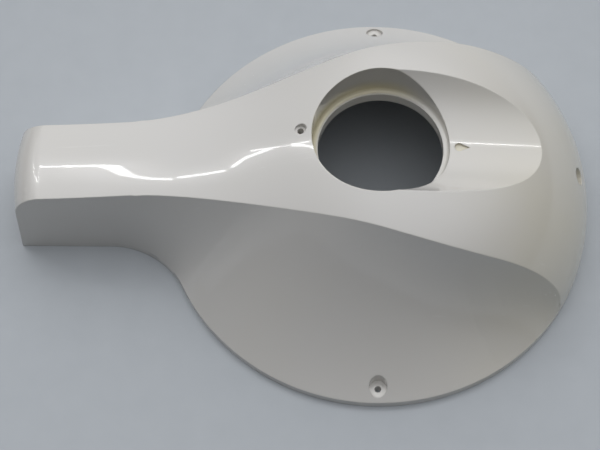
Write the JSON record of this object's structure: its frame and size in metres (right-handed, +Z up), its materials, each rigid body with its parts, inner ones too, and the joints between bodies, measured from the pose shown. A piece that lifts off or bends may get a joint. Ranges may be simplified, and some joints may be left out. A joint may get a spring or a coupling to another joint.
{
  "type": "moulded plastic housing",
  "caption": "Glossy plastic cover: a round base with a raised hood that runs out into a hollow arm, with a round well, a trough behind it and recessed screw holes.",
  "frame": {"origin": "where the axis of the round well meets the plane of the base rim, half way between the two rim screws", "axes": "+X away from the arm, towards the nose of the hood; +Y across the arm; +Z up, along the axis of the well"},
  "size_m": [0.3764, 0.28, 0.109],
  "materials": {
    "moulding": "glossy moulded ABS, off-white"
  },
  "bodies": {
    "root": {"housing": "moulding"}
  },
  "joints": []
}
